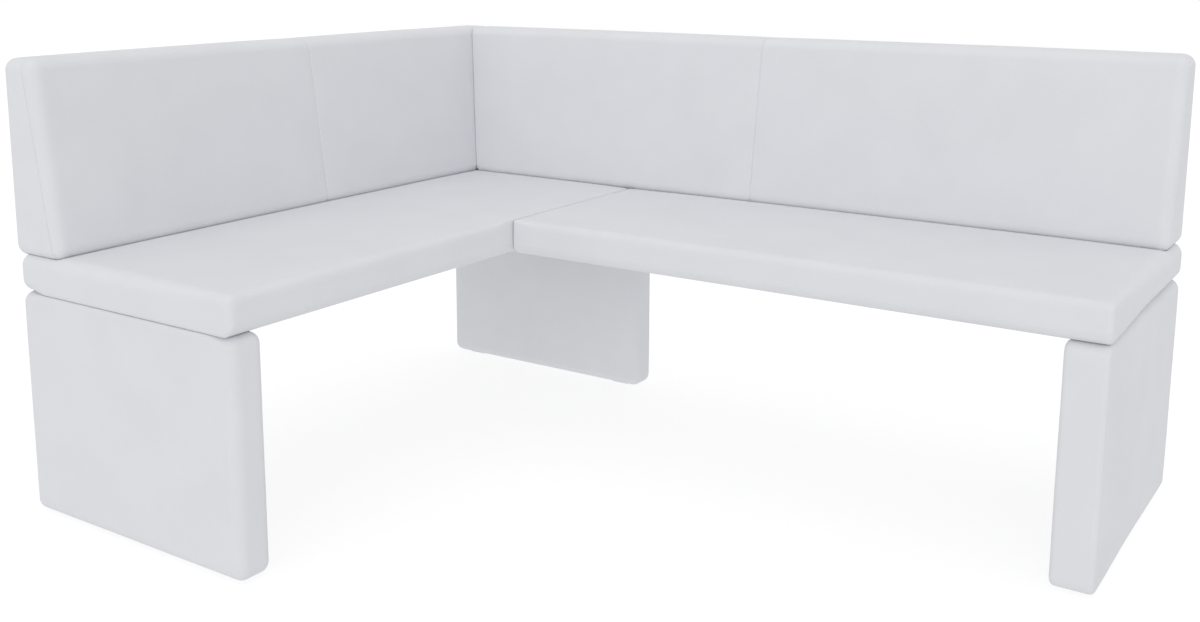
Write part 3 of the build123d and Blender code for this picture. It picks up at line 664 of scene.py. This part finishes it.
class Recipe:
    """A node material under construction, with short ways to add and link nodes."""

    def __init__(self, name):
        self.material = bpy.data.materials.new(name)
        self.material.use_nodes = True
        self.tree = self.material.node_tree
        self.shader = self.tree.nodes["Principled BSDF"]
        self.place = self.tree.nodes.new("ShaderNodeTexCoord").outputs["Object"]

    def node(self, kind, settings=None, **links):
        """New node with its inputs set to values or linked to sockets."""
        node = self.tree.nodes.new(kind)
        for key, value in (settings or {}).items():
            setattr(node, key, value)
        for key, value in links.items():
            self.feed(node.inputs[key.replace("_", " ")], value)
        return node

    def feed(self, socket, value):
        """Links a socket, or sets a plain value."""
        if isinstance(value, bpy.types.NodeSocket):
            self.tree.links.new(value, socket)
        else:
            socket.default_value = value

    def stretched(self, scale):
        """Object coordinates scaled per axis."""
        mapping = self.node("ShaderNodeMapping", Vector=self.place)
        mapping.inputs["Scale"].default_value = scale
        return mapping.outputs["Vector"]

    def noise(self, scale, detail=3.0, roughness=0.5, vector=None):
        """Noise value."""
        vector = self.place if vector is None else vector
        return self.node(
            "ShaderNodeTexNoise", Vector=vector, Scale=scale, Detail=detail, Roughness=roughness
        ).outputs["Fac"]

    def ramp(self, value, colours, low=0.3, high=0.7):
        """Value between two limits turned into a colour between two colours."""
        ramp = self.node("ShaderNodeValToRGB", Fac=value)
        ramp.color_ramp.elements[0].position = low
        ramp.color_ramp.elements[1].position = high
        ramp.color_ramp.elements[0].color = colours[0]
        ramp.color_ramp.elements[1].color = colours[1]
        return ramp.outputs["Color"]

    def spread(self, value, low, high):
        """Value from 0 to 1 moved to another range."""
        node = self.node("ShaderNodeMapRange", Value=value)
        node.inputs["To Min"].default_value = low
        node.inputs["To Max"].default_value = high
        return node.outputs["Result"]

    def bump(self, height, distance, strength, normal=None):
        """Bump from a height, on top of another bump if one is given."""
        node = self.node("ShaderNodeBump", Height=height, Distance=distance, Strength=strength)
        if normal is not None:
            self.feed(node.inputs["Normal"], normal)
        return node.outputs["Normal"]

    def finish(self, **sockets):
        """Sets the shader's sockets and gives the material."""
        for key, value in sockets.items():
            self.feed(self.shader.inputs[key.replace("_", " ")], value)
        return self.material


def faux_leather():
    """Pale matte faux leather with a fine pebbled grain."""
    recipe = Recipe("faux_leather")
    cells = recipe.node(
        "ShaderNodeTexVoronoi", {"feature": "SMOOTH_F1"}, Vector=recipe.place, Scale=720.0, Smoothness=0.6
    )
    pebbles = cells.outputs["Distance"]
    fine = recipe.noise(scale=1900.0, detail=2.0)
    broad = recipe.noise(scale=9.0, detail=4.0)
    tone = recipe.ramp(broad, (srgb(220, 221, 225), srgb(223, 224, 228)))
    matte = recipe.spread(recipe.noise(scale=60.0, detail=3.0), low=0.58, high=0.7)
    soft = recipe.bump(broad, distance=0.002, strength=0.12)
    grain = recipe.bump(pebbles, distance=0.00035, strength=0.35, normal=soft)
    skin = recipe.bump(fine, distance=0.0001, strength=0.25, normal=grain)
    recipe.shader.inputs["Specular IOR Level"].default_value = 0.2
    return recipe.finish(Base_Color=tone, Roughness=matte, Normal=skin)


def timber(name, dark, light, along):
    """Planed wood with grain running along one axis."""
    recipe = Recipe(name)
    across_scale = 60.0
    along_scale = 3.0
    scale = [along_scale if axis == along else across_scale for axis in range(3)]
    grain = recipe.noise(scale=1.0, detail=6.0, roughness=0.6, vector=recipe.stretched(scale))
    tone = recipe.ramp(grain, (dark, light))
    matte = recipe.spread(grain, low=0.55, high=0.75)
    return recipe.finish(
        Base_Color=tone, Roughness=matte, Normal=recipe.bump(grain, distance=0.0005, strength=0.2)
    )


def board(name, dark, light, scale):
    """Pressed or layered board, speckled at the given scale."""
    recipe = Recipe(name)
    tone_scale = 0.6 * scale
    chips = recipe.node("ShaderNodeTexVoronoi", Vector=recipe.place, Scale=scale).outputs["Color"]
    tone = recipe.ramp(recipe.noise(scale=tone_scale, detail=4.0), (dark, light))
    return recipe.finish(
        Base_Color=tone, Roughness=0.7, Normal=recipe.bump(chips, distance=0.0003, strength=0.2)
    )


def zinc_steel():
    """Zinc-plated steel with faint brushing and mottling."""
    recipe = Recipe("zinc_steel")
    brushed = recipe.noise(scale=1.0, detail=3.0, vector=recipe.stretched((900.0, 900.0, 60.0)))
    mottled = recipe.noise(scale=120.0, detail=4.0)
    tone = recipe.ramp(mottled, (srgb(176, 179, 183), srgb(206, 208, 210)), low=0.35, high=0.65)
    shine = recipe.spread(mottled, low=0.28, high=0.42)
    recipe.shader.inputs["Metallic"].default_value = 1.0
    return recipe.finish(
        Base_Color=tone, Roughness=shine, Normal=recipe.bump(brushed, distance=0.0001, strength=0.2)
    )


def glide_plastic():
    """Dull white moulded plastic."""
    recipe = Recipe("glide_plastic")
    grain = recipe.noise(scale=900.0, detail=2.0)
    tone = recipe.ramp(recipe.noise(scale=40.0), (srgb(216, 217, 220), srgb(223, 224, 226)))
    return recipe.finish(
        Base_Color=tone, Roughness=0.5, Normal=recipe.bump(grain, distance=0.0001, strength=0.3)
    )


def lining_cloth():
    """Pale spunbonded cloth with its pattern of small welded points."""
    recipe = Recipe("lining_cloth")
    points = recipe.node("ShaderNodeTexVoronoi", Vector=recipe.place, Scale=500.0, Randomness=0.15)
    dots = points.outputs["Distance"]
    fibres = recipe.noise(scale=1500.0, detail=3.0)
    tone = recipe.ramp(dots, (srgb(186, 187, 190), srgb(208, 209, 212)), low=0.15, high=0.45)
    dotted = recipe.bump(dots, distance=0.0003, strength=0.5)
    woolly = recipe.bump(fibres, distance=0.0002, strength=0.4, normal=dotted)
    return recipe.finish(Base_Color=tone, Roughness=0.9, Normal=woolly)


LEATHER = faux_leather()
STEEL = zinc_steel()
PLASTIC = glide_plastic()
LINING = lining_cloth()
SOFTWOOD = timber("softwood", srgb(189, 152, 104), srgb(221, 190, 143), along=0)
PLYWOOD = timber("plywood", srgb(181, 146, 101), srgb(207, 175, 129), along=1)
CHIPBOARD = board("chipboard", srgb(150, 121, 84), srgb(196, 168, 128), scale=220.0)
HARDBOARD = board("hardboard", srgb(92, 64, 42), srgb(118, 84, 56), scale=700.0)

NODE_MATERIALS = {
    "softwood": SOFTWOOD,
    "plywood": PLYWOOD,
    "chipboard": CHIPBOARD,
    "hardboard": HARDBOARD,
    "zinc_steel": STEEL,
    "glide_plastic": PLASTIC,
    "lining_cloth": LINING,
}


def dress_nodes():
    """Gives each solid that is carried over the material of its slot in the record."""
    for part in frame["record"]["subparts"]:
        material = NODE_MATERIALS.get(part["material_slot"], LEATHER)
        mesh = NODES[part["node"]].data
        mesh.materials.clear()
        mesh.materials.append(material)


# Small fastenings and the cloth underneath


def joined(shapes):
    """Points and faces of several shapes as one."""
    points = []
    faces = []
    count = 0
    for shape_points, shape_faces in shapes:
        points.append(shape_points)
        faces.append(shape_faces + count)
        count += len(shape_points)
    return np.concatenate(points), np.concatenate(faces)


def screw_head(place, facing):
    """Domed screw head with a cross recess, facing one way."""
    rings = np.array(HEAD_RINGS)[:, None]
    angles = np.arange(HEAD_TURNS) * 2 * math.pi / HEAD_TURNS
    x = rings * np.cos(angles)
    y = rings * np.sin(angles)
    slot = (np.minimum(np.abs(x), np.abs(y)) < SLOT_HALF) & (rings < SLOT_REACH)
    height = HEAD_HEIGHT * np.sqrt(1 - (rings / HEAD_DOME) ** 2) - SLOT_DEPTH * slot
    flat = np.stack([x, y, height], axis=-1).reshape(-1, 3)
    facing = np.array(facing, float)
    side = np.cross(facing, NO_SCREW_WAY)
    side /= np.linalg.norm(side)
    other = np.cross(facing, side)
    points = np.array(place) + flat @ np.array([side, other, facing])
    index = np.arange(len(points)).reshape(x.shape)
    after = np.roll(index, -1, axis=1)
    quads = np.stack([index[:-1], index[1:], after[1:], after[:-1]], axis=-1).reshape(-1, 4)
    return points, quads


def solid_boxes(node):
    """Lowest and highest corner of each separate solid in a node's mesh."""
    mesh = NODES[node].data
    points = np.array([vertex.co for vertex in mesh.vertices])
    owner = np.arange(len(points))
    keys = {}
    for i, key in enumerate(map(tuple, points.round(SAME_PLACE))):
        owner[i] = keys.setdefault(key, i)
    faces = [owner[list(polygon.vertices)] for polygon in mesh.polygons]
    changed = True
    label = owner.copy()
    while changed:
        changed = False
        for face in faces:
            least = label[face].min()
            if (label[face] != least).any():
                label[face] = least
                changed = True
    label = label[owner]
    groups = [points[label == value] for value in np.unique(label)]
    return [(group.min(axis=0), group.max(axis=0)) for group in groups]


def leg_distance(value, axis, middle):
    """Distance from a bracket's end to the nearest leg, along one axis."""
    gaps = []
    for name in ("front_leg_cover", "corner_leg_cover", "right_leg_cover"):
        low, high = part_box(name)
        other = 1 - axis
        if low[other] < middle[other] < high[other]:
            gaps.append(min(abs(value - low[axis]), abs(value - high[axis])))
    return min(gaps)


def bracket_screws():
    """Two screws in each arm of every bracket: up into the seat and sideways into the leg."""
    heads = []
    for low, high in solid_boxes("leg_brackets"):
        middle = (low + high) / 2
        across = 0 if high[0] - low[0] < high[1] - low[1] - SAME_SIZE else 1
        out = 1 - across
        leg_side = min((low[out], -1), (high[out], 1), key=lambda end: leg_distance(end[0], out, middle))
        inward = -leg_side[1]
        for shift in (-BRACKET_SCREW_ASIDE, BRACKET_SCREW_ASIDE):
            up = middle.copy()
            up[across] += shift
            up[out] = leg_side[0] + inward * BRACKET_SCREW_ALONG
            up[2] = high[2] - BRACKET_THICKNESS
            heads.append(screw_head(up, (0, 0, -1)))
            flat = middle.copy()
            flat[across] += shift
            flat[out] = leg_side[0] + inward * BRACKET_THICKNESS
            flat[2] = high[2] - BRACKET_SCREW_ALONG
            way = np.zeros(3)
            way[out] = inward
            heads.append(screw_head(flat, way))
    points, faces = joined(heads)
    piece("bracket_screws", points, faces, STEEL)


def plate_screws():
    """Four screws in each plate under the joint."""
    heads = []
    for low, high in solid_boxes("joint_plates"):
        for x in (low[0] + PLATE_SCREW_END, high[0] - PLATE_SCREW_END):
            for y in (low[1] + PLATE_SCREW_SIDE, high[1] - PLATE_SCREW_SIDE):
                heads.append(screw_head((x, y, low[2]), (0, 0, -1)))
    points, faces = joined(heads)
    piece("joint_plate_screws", points, faces, STEEL)


def lining(name):
    """Cloth stretched under a seat, sagging a little between the rails, stapled along its edge."""
    low, high = (np.array(corner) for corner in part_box(f"{name}_seat_lining"))
    x = np.linspace(low[0], high[0], LINING_LINES)
    y = np.linspace(low[1], high[1], LINING_LINES)
    grid_x, grid_y = np.meshgrid(x, y, indexing="ij")
    sag = LINING_SAG * dome(grid_x, low[0], high[0]) * dome(grid_y, low[1], high[1])
    points = np.stack([grid_x, grid_y, low[2] + LINING_LIFT - sag], axis=-1).reshape(-1, 3)
    index = np.arange(len(points)).reshape(grid_x.shape)
    ring = [index[:-1, :-1], index[:-1, 1:], index[1:, 1:], index[1:, :-1]]
    faces = np.stack(ring, axis=-1).reshape(-1, 4)
    cloth = piece(f"{name}_lining_sheet", points, faces, LINING)
    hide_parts(f"{name}_seat_lining")
    staples = []
    near = low + STAPLE_INSET
    far = high - STAPLE_INSET
    for start, axis in (
        ((near[0], near[1]), 0),
        ((near[0], far[1]), 0),
        ((near[0], near[1]), 1),
        ((far[0], near[1]), 1),
    ):
        half = np.array(STAPLE_HALF)
        half[axis] = STAPLE_HALF_LENGTH
        length = far[axis] - near[axis]
        count = round(length / STAPLE_PITCH)
        for i in range(count):
            middle = np.array([*start, low[2] - STAPLE_DROP])
            middle[axis] += length * (i + 0.5) / count
            staples.append(shell(*np.stack([middle - half, middle + half], axis=1)))
    points, faces = joined(staples)
    row = piece(f"{name}_lining_staples", points, faces, STEEL)


# Assembly

dress_nodes()
short_seat()
long_seat()
leg("front_leg", seed=20, top_edge=FRONT_LEG_TOP_EDGE)
leg("corner_leg", seed=21)
leg("right_leg", seed=22, front_edge=LONG_CORNER_EDGE)
backrest(
    "short",
    short_arm,
    start=BACK_SETBACK,
    end=SHORT_END,
    start_edge=BACK_EDGE,
    seam=BACK_SETBACK + SHORT_SEAM,
    end_seam_at=BACK_SETBACK,
    bare_end=SHORT_END - BACK_FOOT,
    corner_lean=False,
    seed=31,
)
backrest(
    "long",
    long_arm,
    start=BACK_FOOT + CORNER_GAP - WALL,
    end=LONG_END,
    start_edge=CORNER_EDGE,
    seam=LONG_END - LONG_SEAM,
    end_seam_at=LONG_END,
    bare_end=LONG_END,
    corner_lean=True,
    seed=32,
)
rear_panel("short")
rear_panel("long")
lining("short")
lining("long")
bracket_screws()
plate_screws()


# Floor, light and camera


def floor():
    """Plain white lit floor that keeps the bench's shadow."""
    mesh = bpy.data.meshes.new("floor")
    corners = [(x * FLOOR_HALF, y * FLOOR_HALF, 0) for x, y in ((-1, -1), (1, -1), (1, 1), (-1, 1))]
    mesh.from_pydata(corners, [], [(0, 1, 2, 3)])
    material = bpy.data.materials.new("floor")
    material.use_nodes = True
    tree = material.node_tree
    tree.nodes.clear()
    out = tree.nodes.new("ShaderNodeOutputMaterial")
    add = tree.nodes.new("ShaderNodeAddShader")
    matte = tree.nodes.new("ShaderNodeBsdfDiffuse")
    lift = tree.nodes.new("ShaderNodeEmission")
    rays = tree.nodes.new("ShaderNodeLightPath")
    for socket, value, seen in (
        (matte.inputs["Color"], FLOOR_MATTE, FLOOR_MATTE_SEEN),
        (lift.inputs["Strength"], FLOOR_GLOW, FLOOR_SEEN),
    ):
        level = tree.nodes.new("ShaderNodeMapRange")
        level.inputs["To Min"].default_value = value
        level.inputs["To Max"].default_value = seen
        tree.links.new(rays.outputs["Is Camera Ray"], level.inputs["Value"])
        tree.links.new(level.outputs["Result"], socket)
    tree.links.new(matte.outputs["BSDF"], add.inputs[0])
    tree.links.new(lift.outputs["Emission"], add.inputs[1])
    tree.links.new(add.outputs["Shader"], out.inputs["Surface"])
    mesh.materials.append(material)
    plane = bpy.data.objects.new("floor", mesh)
    bpy.context.scene.collection.objects.link(plane)


def world():
    """Even white surroundings, plain white to the camera and in reflections."""
    surroundings = bpy.data.worlds.new("studio")
    bpy.context.scene.world = surroundings
    surroundings.use_nodes = True
    tree = surroundings.node_tree
    background = tree.nodes["Background"]
    background.inputs["Color"].default_value = (1, 1, 1, 1)
    rays = tree.nodes.new("ShaderNodeLightPath")
    direct = tree.nodes.new("ShaderNodeMath")
    direct.operation = "MAXIMUM"
    tree.links.new(rays.outputs["Is Camera Ray"], direct.inputs[0])
    tree.links.new(rays.outputs["Is Glossy Ray"], direct.inputs[1])
    level = tree.nodes.new("ShaderNodeMapRange")
    level.inputs["To Min"].default_value = SKY
    level.inputs["To Max"].default_value = 1.0
    tree.links.new(direct.outputs["Value"], level.inputs["Value"])
    tree.links.new(level.outputs["Result"], background.inputs["Strength"])


def lamp(name, way, softness, power):
    """Even soft light that comes from one way."""
    light = bpy.data.lights.new(name, "SUN")
    light.angle = math.radians(softness)
    light.energy = power
    thing = bpy.data.objects.new(name, light)
    thing.location = way
    flat = math.hypot(way[0], way[1])
    thing.rotation_euler = (math.atan2(flat, way[2]), 0, math.atan2(way[0], -way[1]))
    bpy.context.scene.collection.objects.link(thing)


def camera():
    """Camera at the photographed viewpoint."""
    view = bpy.data.cameras.new("camera")
    view.lens = LENS
    view.sensor_width = SENSOR
    view.shift_x = SHIFT_X
    view.shift_y = SHIFT_Y
    view.clip_end = FAR_CLIP
    thing = bpy.data.objects.new("camera", view)
    thing.location = CAMERA_PLACE
    thing.rotation_euler = (math.radians(90 - CAMERA_DOWN), 0, math.radians(CAMERA_TURN))
    bpy.context.scene.collection.objects.link(thing)
    bpy.context.scene.camera = thing


floor()
world()
lamp("top_light", way=(0.1, -0.2, 1.0), softness=60, power=0.36)
lamp("front_light", way=(1.0, -2.8, 0.5), softness=45, power=0.47)
camera()
bpy.context.scene.view_settings.view_transform = "Standard"
